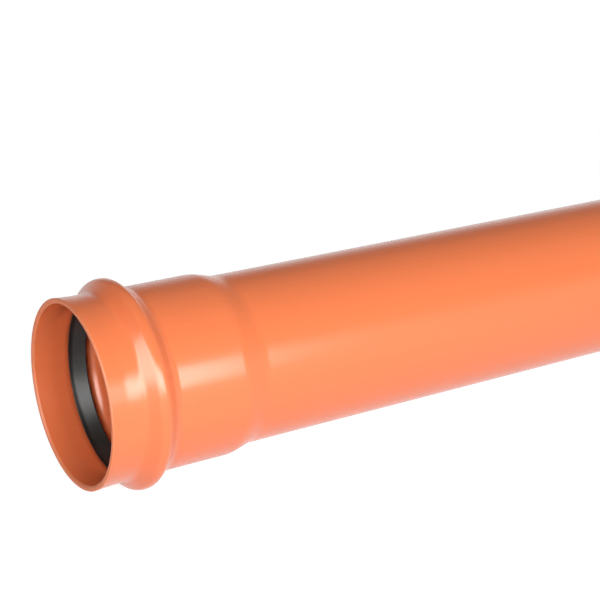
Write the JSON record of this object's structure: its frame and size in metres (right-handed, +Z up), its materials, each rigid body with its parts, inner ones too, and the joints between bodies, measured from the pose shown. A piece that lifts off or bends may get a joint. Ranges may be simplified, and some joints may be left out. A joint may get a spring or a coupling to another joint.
{
  "type": "pvc sewer pipe",
  "caption": "Orange unplasticised PVC sewer pipe with a plain chamfered spigot and a belled socket whose raised bead holds a black rubber lip seal.",
  "frame": {"origin": "on the floor, under the middle of the pipe's length: the middle of the bottom of its bounding box", "axes": "+X along the pipe's axis from the mouth of the socket to the spigot; +Z up as the pipe lies"},
  "size_m": [1.094, 0.1338, 0.1337],
  "materials": {
    "pvc": "smooth extruded orange PVC with a soft gloss",
    "rubber": "moulded black rubber, faintly shiny"
  },
  "bodies": {
    "root": {"pipe": "pvc", "sealing_ring": "rubber"}
  },
  "joints": []
}
